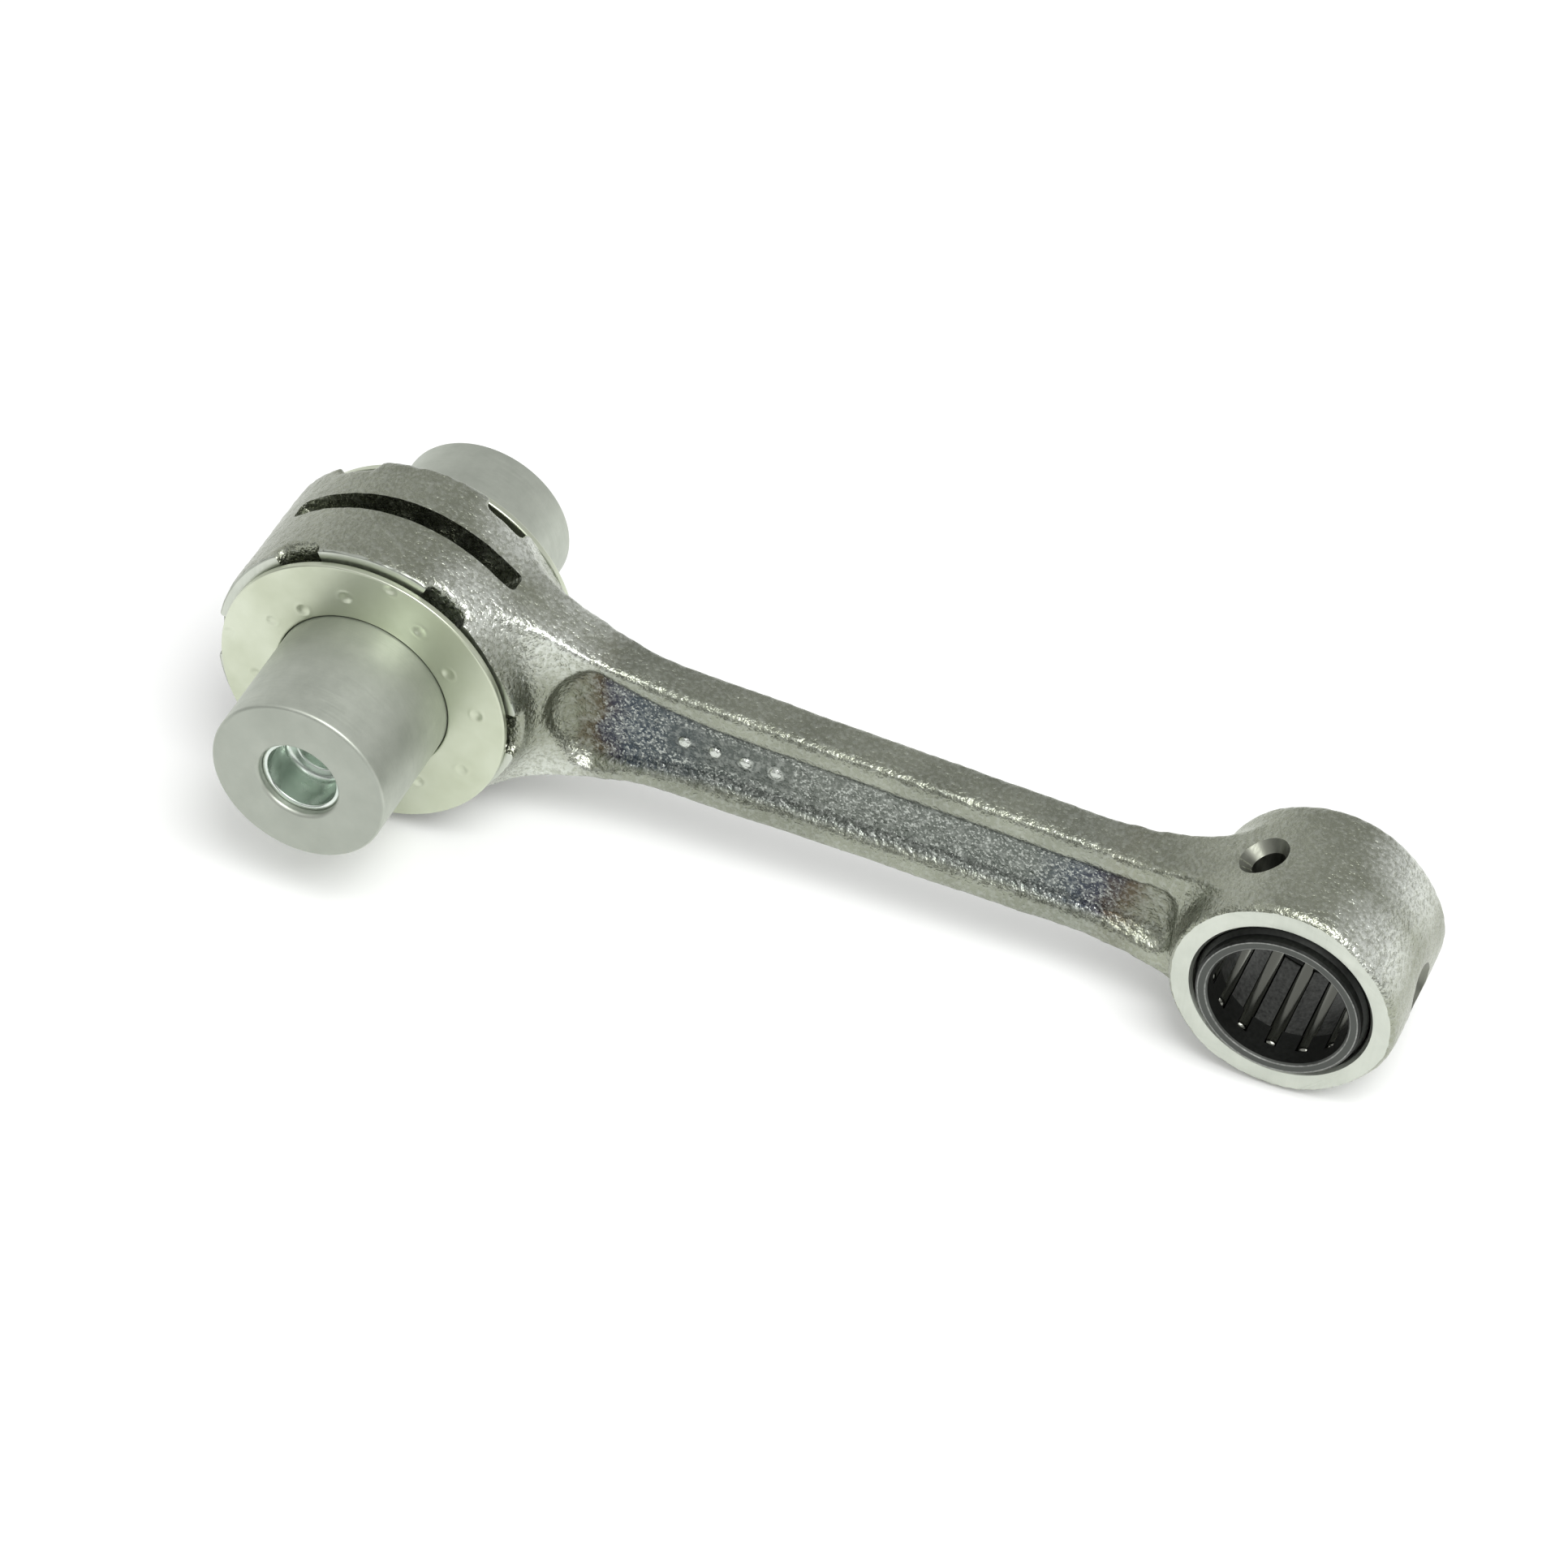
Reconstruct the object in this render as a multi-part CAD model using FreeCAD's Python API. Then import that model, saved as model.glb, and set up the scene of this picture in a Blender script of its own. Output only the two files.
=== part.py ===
"""Connecting rod of a small two-stroke engine, with its crank pin, needle bearings and thrust washers.

Origin: centre of the big-end bore, on the rod's mid-plane. +X runs along the rod to the small end,
Y is the axis of the crank pin and of the wrist pin, and +Z is up. Millimetres.
"""
import FreeCAD, Part
import math
import os

from FreeCAD import Vector

# ---- driving dimensions -------------------------------------------------------------------------
centre_distance = 124.25        # between the two bore axes

# crank pin and its two cup plugs
pin_radius = 12.0
pin_length = 57.0
pin_shift = -2.3                # middle of the pin from the rod's mid-plane
pin_edge = 0.4                  # chamfer on the pin's ends
pin_bore_radius = 5.5
pin_bore_edge = 0.5             # chamfer at the bore's mouth
plug_wall = 0.75
plug_length = 8.0
plug_pocket_depth = 5.4         # wide part of the cup
plug_nose_radius = 3.1          # narrow part of the cup
plug_nose_depth = 1.5
plug_sunk = 1.1                 # rim below the pin's end face
plug_rim_round = 0.35

# big-end needle bearing
big_roller_radius = 1.75
big_roller_count = 14
big_roller_length = 13.8
roller_edge = 0.2               # bevel on the ends of all rollers
big_cage_width = 17.6
big_cage_wall = 2.4

# small-end needle bearing, made for an 18 mm wrist pin
wrist_pin_radius = 9.0
needle_radius = 1.25
needle_count = 14
needle_length = 17.7
needle_first_angle = 9.5        # degrees, from +X towards +Z
small_cage_width = 23.0
small_cage_lip = 0.16           # inner wall outside the wrist pin's radius
small_cage_shoulder = 0.55      # the ends are this much smaller in radius
small_cage_shoulder_width = 1.6
small_cage_relief = 0.18        # depth of the wide groove inside
small_cage_relief_width = 12.0

# big end of the rod; its two machined faces are not at the same distance from the mid-plane
front_face = 10.75
rear_face = 8.7
boss_radius = 21.4
boss_corner = 0.2               # broken edge of the machined faces
boss_skirt_round = 4.0          # hollow round between the boss and the beam
slot_width = 3.2
slot_from, slot_to = 48.5, 131.5    # degrees, from +X towards +Z; a second slot mirrors it below
notch_count = 6
notch_angle = 17.0
notch_depth = 1.5

# small end of the rod
small_end_radius = 15.0
small_end_width = 20.5
small_end_corner = 0.85
small_end_skirt_round = 3.4
oil_hole_count = 3
oil_hole_radius = 2.25
oil_hole_mouth = 3.5
oil_hole_cone = 1.5             # depth of the countersink

# beam
beam_thickness = 6.6
beam_root = 17.2                # height of the beam where the big-end flare ends
beam_tip = 15.4                 # height where the small-end flare starts
beam_edge = 0.9
skirt_rise = 0.9                # extra half thickness beside each boss
skirt_length = 13.0             # how far that thicker part reaches from each boss
big_flare_radius = 50.0
small_flare_radius = 35.0
flange = 3.2                    # width of the flat face on each flange
web_thickness = 3.0
recess_draft = 1.0              # slope of the recess wall, from rim to floor
recess_foot = 0.6               # bevel between the wall and the floor
recess_overcut = 0.3            # the tool widens this much above the flanges
recess_flare_radius = 67.0      # the recess widens towards the big end along this arc
recess_flare_end = 49.0         # where that arc meets the straight wall
recess_nose = 28.0              # where the blunt nose starts
recess_tip = 22.6               # tip of the nose
recess_stop = 16.2              # end of the recess, from the small-end axis
recess_corner = 2.6
bore_edge = 0.4

# raised forging marks in the recess
mark_count = 4
mark_radius = 0.95
mark_height = 0.35
mark_first = 40.5
mark_step = 4.2

# thrust washers
washer_thickness = 1.0
washer_radius = 20.0
washer_edge = 0.18
dimple_radius = 0.8
dimple_depth = 0.16
dimples = [(100, 15.3), (129, 13.6), (152, 14.6), (173, 19.0), (192, 15.2), (214, 16.9), (237, 14.2),
           (262, 17.6), (284, 15.0), (305, 14.7), (333, 16.2), (10, 16.3), (35, 14.4), (61, 15.7),
           (80, 19.3)]          # (degrees, radius) of each

# clearances, each on the radius or on one side
race_play = 0.05                # rollers to their outer race
pin_play = 0.02                 # rollers to the pin inside them
pocket_play = 0.12              # rollers to their cage, at the side and at the end
big_cage_play = 0.35            # cage to the bore outside it
small_cage_play = 0.29
washer_bore_play = 0.10
front_washer_play = 0.45        # washer to the rod's machined face
rear_washer_play = 0.20

# ---- sizes that follow --------------------------------------------------------------------------
big_pitch = pin_radius + pin_play + big_roller_radius
big_bore = big_pitch + big_roller_radius + race_play
needle_pitch = wrist_pin_radius + pin_play + needle_radius
small_bore = needle_pitch + needle_radius + race_play
big_middle = (rear_face - front_face) / 2   # the bearing lies midway between the two faces
small_half = small_end_width / 2
beam_half = beam_thickness / 2
skirt_half = beam_half + skirt_rise
pin_front = pin_shift - pin_length / 2
pin_back = pin_shift + pin_length / 2
roller_angles = [360 * i / big_roller_count for i in range(big_roller_count)]
needle_angles = [needle_first_angle + 360 * i / needle_count for i in range(needle_count)]
Y = Vector(0, 1, 0)


def rod_along_y(radius, y_from, y_to, x=0.0):
    return Part.makeCylinder(radius, y_to - y_from, Vector(x, y_from, 0), Y)


def tube(outer, inner, y_from, y_to, x=0.0):
    return rod_along_y(outer, y_from, y_to, x).cut(rod_along_y(inner, y_from - 1, y_to + 1, x))


def spun(points, x=0.0):
    """Solid of revolution about the Y axis at x. Points are (radius, y), or (radius, y, bend), where a
    bend is the middle point of an arc that ends there."""
    edges = []
    start = points[-1]
    for point in points:
        a = Vector(start[0], start[1], 0)
        b = Vector(point[0], point[1], 0)
        if len(point) == 3:
            edges.append(Part.Arc(a, Vector(point[2][0], point[2][1], 0), b).toShape())
        elif (a - b).Length > 1e-9:
            edges.append(Part.LineSegment(a, b).toShape())
        start = point
    solid = Part.Face(Part.Wire(edges)).revolve(Vector(0, 0, 0), Y, 360)
    solid.translate(Vector(x, 0, 0))
    return solid


def quarter(centre, radius, side_r, side_y):
    """Middle point of a quarter round, for spun: side_r and side_y say which quarter."""
    half = radius * math.sqrt(0.5)
    return (centre[0] + side_r * half, centre[1] + side_y * half)


def about_y(shape, degrees, x=0.0):
    """Turned about the bore axis at x, counted from +X towards +Z."""
    turned = shape.copy()
    turned.rotate(Vector(x, 0, 0), Y, -degrees)
    return turned


def bevelled(radius, y_from, y_to, bevel, x=0.0):
    """Cylinder with a bevel on both ends."""
    return spun([(0, y_from), (radius - bevel, y_from), (radius, y_from + bevel),
                 (radius, y_to - bevel), (radius - bevel, y_to), (0, y_to)], x)


# ---- rod ----------------------------------------------------------------------------------------
def flare(boss_x, boss_r, side, height, radius):
    """Arc that leaves a boss tangentially and runs into the beam's edge at this height.
    Returns its centre and its two ends, boss end first. side is +1 where the beam lies at +X."""
    rise = height + radius
    along = math.sqrt((boss_r + radius) ** 2 - rise ** 2)
    centre = Vector(boss_x + side * along, 0, rise)
    share = boss_r / (boss_r + radius)
    on_boss = Vector(boss_x + side * along * share, 0, rise * share)
    return centre, on_boss, Vector(centre.x, 0, height)


def mid_of_arc(centre, a, b):
    middle = (a + b) * 0.5 - centre
    return centre + middle * ((a - centre).Length / middle.Length)


def down(v):
    return Vector(v.x, v.y, -v.z)


def outline():
    """The rod seen along the bores: two round bosses joined by the flared beam."""
    c1, a1, b1 = flare(0, boss_radius, 1, beam_root / 2, big_flare_radius)
    c2, a2, b2 = flare(centre_distance, small_end_radius, -1, beam_tip / 2, small_flare_radius)
    m1, m2 = mid_of_arc(c1, a1, b1), mid_of_arc(c2, a2, b2)
    far_small = Vector(centre_distance + small_end_radius, 0, 0)
    edges = [Part.Arc(a1, m1, b1), Part.LineSegment(b1, b2), Part.Arc(b2, m2, a2),
             Part.Arc(a2, far_small, down(a2)),
             Part.Arc(down(a2), down(m2), down(b2)), Part.LineSegment(down(b2), down(b1)),
             Part.Arc(down(b1), down(m1), down(a1)), Part.Arc(down(a1), Vector(-boss_radius, 0, 0), a1)]
    return Part.Wire([e.toShape() for e in edges])


def thick_outline(half):
    face = Part.Face(outline())
    face.translate(Vector(0, -half, 0))
    return face.extrude(Vector(0, 2 * half, 0))


def half_boss(x, radius, half, corner, hollow):
    """A boss on the +Y side of the mid-plane, with the hollow skirt that leads down to the beam."""
    hollow = min(hollow, half - corner - skirt_half)
    skirt_end = radius + skirt_length
    return spun([(0, 0), (0, half), (radius - corner, half),
                 (radius, half - corner, quarter((radius - corner, half - corner), corner, 1, 1)),
                 (radius, skirt_half + hollow),
                 (radius + hollow, skirt_half,
                  quarter((radius + hollow, skirt_half + hollow), hollow, -1, -1)),
                 (skirt_end, beam_half), (skirt_end, 0)], x)


def boss(x, radius, front, rear, corner, hollow):
    lower = half_boss(x, radius, front, corner, hollow).mirror(Vector(0, 0, 0), Y)
    whole = half_boss(x, radius, rear, corner, hollow).fuse(lower)
    return whole.common(thick_outline(max(front, rear)))


def recess_wire(inset, y):
    """Outline of the recess, this far inside the beam's own outline: a flared blunt nose at the big end
    and two corner rounds at the small end."""
    c1, a1, b1 = flare(0, boss_radius, 1, beam_root / 2, big_flare_radius)
    c2, a2, b2 = flare(centre_distance, small_end_radius, -1, beam_tip / 2, small_flare_radius)
    start_x = max(b1.x, recess_flare_end)
    share = (start_x - b1.x) / (b2.x - b1.x)
    edge = b1.z + (b2.z - b1.z) * share
    deeper = inset - flange
    r1, r2, corner = recess_flare_radius + deeper, small_flare_radius + inset, recess_corner
    c1 = Vector(start_x, 0, edge - flange + recess_flare_radius)
    tail_x = centre_distance - recess_stop - deeper - corner
    nose, tail = wall_point(c1, r1, recess_nose, y), wall_point(c2, r2, tail_x, y)
    start, stop = Vector(start_x, y, edge - inset), Vector(b2.x, y, b2.z - inset)
    mid1, mid2 = wall_point(c1, r1, (nose.x + start.x) / 2, y), wall_point(c2, r2, (tail.x + b2.x) / 2, y)
    end = Vector(tail.x + corner, y, tail.z - corner)
    bend = Vector(tail.x + corner * math.sqrt(0.5), y, tail.z - corner * (1 - math.sqrt(0.5)))
    edges = [Part.Arc(down(nose), Vector(recess_tip + deeper, y, 0), nose), Part.Arc(nose, mid1, start),
             Part.LineSegment(start, stop), Part.Arc(stop, mid2, tail), Part.Arc(tail, bend, end),
             Part.LineSegment(end, down(end)), Part.Arc(down(end), down(bend), down(tail)),
             Part.Arc(down(tail), down(mid2), down(stop)), Part.LineSegment(down(stop), down(start)),
             Part.Arc(down(start), down(mid1), down(nose))]
    return Part.Wire([e.toShape() for e in edges])


def wall_height(centre, radius, x):
    return centre.z - math.sqrt(radius ** 2 - (x - centre.x) ** 2)


def wall_point(centre, radius, x, y):
    return Vector(x, y, wall_height(centre, radius, x))


def recess():
    """Tool for the recess on the +Y side: a drafted block with a bevelled foot."""
    floor = web_thickness / 2
    sections = [(flange + recess_draft + recess_foot, floor), (flange + recess_draft, floor + recess_foot),
                (flange, beam_half), (flange - recess_overcut, max(front_face, rear_face))]
    return Part.makeLoft([recess_wire(inset, y) for inset, y in sections], True, True)


def notches(side):
    """Radial oil grooves across the machined face on one side."""
    width = 2 * boss_radius * math.sin(math.radians(notch_angle / 2))
    y = rear_face if side > 0 else -front_face
    inner = big_bore - 1
    block = Part.makeBox(boss_radius + 1 - inner, 2 * notch_depth, width,
                         Vector(inner, y - notch_depth, -width / 2))
    return [about_y(block, 360 * i / notch_count) for i in range(notch_count)]


def slot(start, end):
    """Curved slot through the boss wall, with round ends."""
    inner, outer, half = big_bore - 1, boss_radius + boss_skirt_round, slot_width / 2
    corners = [(inner, -half), (outer, -half), (outer, half), (inner, half), (inner, -half)]
    face = Part.Face(Part.makePolygon([Vector(r, y, 0) for r, y in corners]))
    sector = about_y(face.revolve(Vector(0, 0, 0), Vector(0, -1, 0), end - start), start)
    drill = Part.makeCylinder(half, outer - inner, Vector(inner, 0, 0), Vector(1, 0, 0))
    return sector.fuse([about_y(drill, start), about_y(drill, end)])


def oil_hole(degrees):
    """Countersunk hole through the small end's wall."""
    shallow = small_end_radius - oil_hole_cone
    out = Vector(1, 0, 0)
    hole = Part.makeCylinder(oil_hole_radius, small_end_radius, Vector(centre_distance, 0, 0), out)
    cone = Part.makeCone(oil_hole_radius, 2 * oil_hole_mouth - oil_hole_radius,
                         2 * oil_hole_cone, Vector(centre_distance + shallow, 0, 0), out)
    return about_y(hole.fuse(cone), degrees, centre_distance)


def bore_tool(radius, front, rear, x):
    """Through bore with a small chamfer at each mouth."""
    over = 1.0
    wide = radius + bore_edge + over
    return spun([(0, -front - over), (wide, -front - over), (radius, -front + bore_edge),
                 (radius, rear - bore_edge), (wide, rear + over), (0, rear + over)], x)


def make_rod():
    slab = thick_outline(beam_half)
    rim_edges = [e for e in slab.Edges if abs(abs(e.BoundBox.YMin) - beam_half) < 1e-6
                 and e.BoundBox.YLength < 1e-6]
    rod = slab.makeFillet(beam_edge, rim_edges)
    rod = rod.fuse(boss(0, boss_radius, front_face, rear_face, boss_corner, boss_skirt_round))
    rod = rod.fuse(boss(centre_distance, small_end_radius, small_half, small_half, small_end_corner,
                        small_end_skirt_round))
    tool = recess()
    rod = rod.cut([tool, tool.mirror(Vector(0, 0, 0), Y)])
    floor = web_thickness / 2
    marks = [rod_along_y(mark_radius, -floor - mark_height, 0, mark_first + mark_step * i)
             for i in range(mark_count)]
    rod = rod.fuse(marks)
    rod = rod.cut([bore_tool(big_bore, front_face, rear_face, 0),
                   bore_tool(small_bore, small_half, small_half, centre_distance)])
    rod = rod.cut(notches(1) + notches(-1))
    rod = rod.cut([slot(slot_from, slot_to), slot(-slot_to, -slot_from)])
    return rod.cut([oil_hole(360 * i / oil_hole_count) for i in range(oil_hole_count)])


# ---- crank pin and plugs ------------------------------------------------------------------------
def make_crank_pin():
    body = bevelled(pin_radius, pin_front, pin_back, pin_edge)
    mouth = pin_bore_radius + pin_bore_edge
    bore = spun([(0, pin_front), (mouth, pin_front), (pin_bore_radius, pin_front + pin_bore_edge),
                 (pin_bore_radius, pin_back - pin_bore_edge), (mouth, pin_back), (0, pin_back)])
    return body.cut(bore)


def make_cup_plug(front):
    """Stepped steel cup pressed into one end of the pin's bore, open outwards."""
    rim = pin_front + plug_sunk
    end, step, lip = rim + plug_length, rim + plug_pocket_depth, plug_rim_round
    inner = pin_bore_radius - plug_wall
    cup = spun([(inner, rim + lip), (inner + lip, rim, quarter((inner + lip, rim + lip), lip, -1, -1)),
                (pin_bore_radius, rim), (pin_bore_radius, end - lip), (pin_bore_radius - lip, end),
                (0, end), (0, step + plug_nose_depth), (plug_nose_radius, step + plug_nose_depth),
                (plug_nose_radius, step), (inner, step)])
    return cup if front else cup.mirror(Vector(0, pin_shift, 0), Y)


# ---- bearings -----------------------------------------------------------------------------------
def roller(radius, length, pitch, degrees, x=0.0, middle=0.0):
    one = bevelled(radius, middle - length / 2, middle + length / 2, roller_edge, x + pitch)
    return about_y(one, degrees, x)


def pockets(radius, length, pitch, angles, x=0.0, middle=0.0):
    """Tools for the cage's windows, each a roller's shape with play all round."""
    r, half = radius + pocket_play, length / 2 + pocket_play
    one = rod_along_y(r, middle - half, middle + half, x + pitch)
    return [about_y(one, degrees, x) for degrees in angles]


def make_big_cage():
    outer = big_bore - big_cage_play
    half = big_cage_width / 2
    cage = tube(outer, outer - big_cage_wall, big_middle - half, big_middle + half)
    return cage.cut(pockets(big_roller_radius, big_roller_length, big_pitch, roller_angles,
                            middle=big_middle))


def make_small_cage():
    """Cage with a shoulder at each end outside and a wide shallow groove inside."""
    inner = wrist_pin_radius + small_cage_lip
    outer = small_bore - small_cage_play
    half, relief = small_cage_width / 2, small_cage_relief_width / 2
    low, step = outer - small_cage_shoulder, half - small_cage_shoulder_width
    bevel = small_cage_shoulder / 2
    side = [(inner + small_cage_relief, relief), (inner, relief), (inner, half - bevel),
            (inner + bevel, half), (low - bevel, half), (low, half - bevel), (low, step + bevel),
            (outer, step - bevel)]
    other = [(r, -y) for r, y in reversed(side)]
    cage = spun(side + other, centre_distance)
    return cage.cut(pockets(needle_radius, needle_length, needle_pitch, needle_angles, centre_distance))


# ---- thrust washers -----------------------------------------------------------------------------
def make_washer(side):
    """Hardened washer with small dents that hold oil in both faces."""
    near = rear_face + rear_washer_play if side > 0 else front_face + front_washer_play
    far = near + washer_thickness
    bore = pin_radius + washer_bore_play
    e = washer_edge
    ring = spun([(bore, near + e), (bore + e, near), (washer_radius - e, near), (washer_radius, near + e),
                 (washer_radius, far - e), (washer_radius - e, far), (bore + e, far), (bore, far - e)])
    ball = (dimple_radius ** 2 + dimple_depth ** 2) / (2 * dimple_depth)
    dents = [about_y(Part.makeSphere(ball, Vector(r, far + ball - dimple_depth, 0)), a) for a, r in dimples]
    ring = ring.cut(dents)
    return ring if side > 0 else ring.mirror(Vector(0, 0, 0), Y)


def build():
    parts = {
        "rod": make_rod(),
        "crank_pin": make_crank_pin(),
        "cup_plug_front": make_cup_plug(True),
        "cup_plug_rear": make_cup_plug(False),
        "thrust_washer_front": make_washer(-1),
        "thrust_washer_rear": make_washer(1),
        "big_end_cage": make_big_cage(),
        "small_end_cage": make_small_cage(),
    }
    for i, degrees in enumerate(roller_angles):
        parts[f"big_end_roller_{i + 1:02d}"] = roller(
            big_roller_radius, big_roller_length, big_pitch, degrees, middle=big_middle)
    for i, degrees in enumerate(needle_angles):
        parts[f"small_end_needle_{i + 1:02d}"] = roller(
            needle_radius, needle_length, needle_pitch, degrees, centre_distance)
    return parts


os.makedirs("parts", exist_ok=True)
for name, shape in build().items():
    shape = shape.removeSplitter() if name == "rod" else shape
    print(name, len(shape.Solids), shape.isValid(), round(shape.Volume, 1))
    shape.exportStep(f"parts/{name}.step")
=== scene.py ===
import math

import bmesh
import bpy
import numpy as np
from mathutils import Matrix, Vector, noise


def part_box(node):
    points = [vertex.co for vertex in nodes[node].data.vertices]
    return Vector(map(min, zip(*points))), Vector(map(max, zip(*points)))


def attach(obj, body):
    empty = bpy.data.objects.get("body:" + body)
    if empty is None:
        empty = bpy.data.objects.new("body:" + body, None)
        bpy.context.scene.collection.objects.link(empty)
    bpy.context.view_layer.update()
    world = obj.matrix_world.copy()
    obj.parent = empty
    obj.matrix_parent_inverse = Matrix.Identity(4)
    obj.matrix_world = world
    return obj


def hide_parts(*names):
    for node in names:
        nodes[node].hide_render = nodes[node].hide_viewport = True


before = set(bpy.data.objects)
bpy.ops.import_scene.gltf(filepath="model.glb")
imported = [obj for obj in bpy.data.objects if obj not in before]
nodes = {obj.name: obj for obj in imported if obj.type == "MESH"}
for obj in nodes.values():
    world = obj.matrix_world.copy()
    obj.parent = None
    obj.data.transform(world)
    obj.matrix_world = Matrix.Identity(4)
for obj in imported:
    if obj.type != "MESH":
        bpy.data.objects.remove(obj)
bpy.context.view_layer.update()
mm = 0.001

# where things lie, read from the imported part
rodLow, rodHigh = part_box("rod")
pinLow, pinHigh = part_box("crank_pin")
frontWasherLow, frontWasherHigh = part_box("thrust_washer_front")
rearWasherLow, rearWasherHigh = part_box("thrust_washer_rear")
smallCageLow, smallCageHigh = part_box("small_end_cage")
bigRadius = -rodLow.x
smallX = (smallCageLow.x + smallCageHigh.x) / 2
smallRadius = rodHigh.x - smallX
rearPlay = 0.2 * mm         # between the big end's rear face and its washer
frontFace, rearFace = rodLow.y, rearWasherLow.y - rearPlay
print("frame loaded:", len(nodes), "nodes, centres", round(smallX / mm, 2), "mm apart")


# node helpers
def addNode(tree, kind, **settings):
    node = tree.nodes.new(kind)
    for key, value in settings.items():
        setattr(node, key, value)
    return node


def nodeTree(name):
    mat = bpy.data.materials.new(name)
    mat.use_nodes = True
    tree = mat.node_tree
    return mat, tree, tree.nodes["Principled BSDF"]


def spread(tree, value, low, high, fromLow=0.3, fromHigh=0.7):
    # maps fromLow..fromHigh to low..high and holds the ends
    remap = addNode(tree, "ShaderNodeMapRange")
    remap.inputs["From Min"].default_value = fromLow
    remap.inputs["From Max"].default_value = fromHigh
    remap.inputs["To Min"].default_value = low
    remap.inputs["To Max"].default_value = high
    tree.links.new(value, remap.inputs["Value"])
    return remap.outputs[0]


def blendColour(tree, factor, a, b, mode="MIX"):
    mix = addNode(tree, "ShaderNodeMix", data_type="RGBA", blend_type=mode)
    if isinstance(factor, (int, float)):
        mix.inputs[0].default_value = factor
    else:
        tree.links.new(factor, mix.inputs[0])
    for socket, colour in ((mix.inputs[6], a), (mix.inputs[7], b)):
        if isinstance(colour, tuple):
            socket.default_value = (*colour, 1)
        else:
            tree.links.new(colour, socket)
    return mix.outputs[2]


# camera, floor and lights
view = {
    "azimuth": 18.348,      # degrees, 0 looks along +Y
    "elevation": 43.672,
    "roll": 6.279,
    "distance": 752.08 * mm,
    "target": (53.794 * mm, 0.0, -2.868 * mm),
    "focal": 135.58,        # on a 36 mm sensor
}
room = {
    "floorColour": (0.86, 0.865, 0.86),
    "floorGlow": 0.14,      # the paper is lit from below a little, so its shadows stay pale
    "floorSize": 12.0,
    "floorGap": 0.05 * mm,  # under the rod, so that nothing sinks in
    "tent": 0.90,           # brightness of the light tent's walls
    "dim": 0.56,            # and of its back, high up
    "dimDirection": (0.12, 0.72, 0.64),
    "dimFrom": 0.35, "dimTo": 0.95,     # as the cosine of the angle from that direction
    "doorway": 0.18,        # the dark gap in front, between the paper's edge and the roof
    "doorwayTop": (0.29, 0.46),     # where it starts and ends fading, as sines of the elevation
    "doorwaySides": (0.35, -0.05),  # and round to the sides, as the direction's Y
    "keyPower": 6.5,        # softbox above, on the camera's side
    "keyPlace": (0.36, -0.30, 0.88),
    "keyAim": (0.05, 0, 0),
    "keySize": 0.55,
}


def placeCamera(v):
    az, el, roll = (math.radians(v[k]) for k in ("azimuth", "elevation", "roll"))
    back = Vector((math.sin(az) * math.cos(el), -math.cos(az) * math.cos(el), math.sin(el)))
    right = Vector((math.cos(az), math.sin(az), 0))
    up = back.cross(right)
    camRight = right * math.cos(roll) + up * math.sin(roll)
    camUp = up * math.cos(roll) - right * math.sin(roll)
    data = bpy.data.cameras.new("mainCamera")
    data.lens, data.sensor_width = v["focal"], 36
    data.clip_start, data.clip_end = 0.01, 50
    cam = bpy.data.objects.new("mainCamera", data)
    bpy.context.scene.collection.objects.link(cam)
    stand = Matrix((camRight, camUp, back)).transposed().to_4x4()
    stand.translation = Vector(v["target"]) + back * v["distance"]
    cam.matrix_world = stand
    bpy.context.scene.camera = cam


def makeFloor(r):
    # the rod lies on its big end and its small end, so the floor is tangent to both
    slope = math.asin((bigRadius - smallRadius) / smallX)
    down = Vector((math.sin(slope), 0, -math.cos(slope)))
    half = r["floorSize"] / 2
    mesh = bpy.data.meshes.new("floor")
    along = Vector((math.cos(slope), 0, math.sin(slope)))
    across = Vector((0, 1, 0))
    base = down * (bigRadius + r["floorGap"])
    corners = [base + along * a * half + across * b * half
               for a, b in ((-1, -1), (1, -1), (1, 1), (-1, 1))]
    mesh.from_pydata([tuple(c) for c in corners], [], [(0, 1, 2, 3)])
    floor = bpy.data.objects.new("floor", mesh)
    bpy.context.scene.collection.objects.link(floor)
    mat, tree, shader = nodeTree("paperSweep")
    shader.inputs["Base Color"].default_value = (*r["floorColour"], 1)
    shader.inputs["Roughness"].default_value = 0.9
    shader.inputs["Specular IOR Level"].default_value = 0.1
    shader.inputs["Emission Color"].default_value = (1, 1, 1, 1)
    shader.inputs["Emission Strength"].default_value = r["floorGlow"]
    mesh.materials.append(mat)


def areaLight(name, where, aim, size, power):
    data = bpy.data.lights.new(name, "AREA")
    data.shape, data.size, data.energy = "SQUARE", size, power
    lamp = bpy.data.objects.new(name, data)
    bpy.context.scene.collection.objects.link(lamp)
    lamp.location = where
    lamp.rotation_euler = (Vector(aim) - Vector(where)).to_track_quat("-Z", "Y").to_euler()


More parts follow.
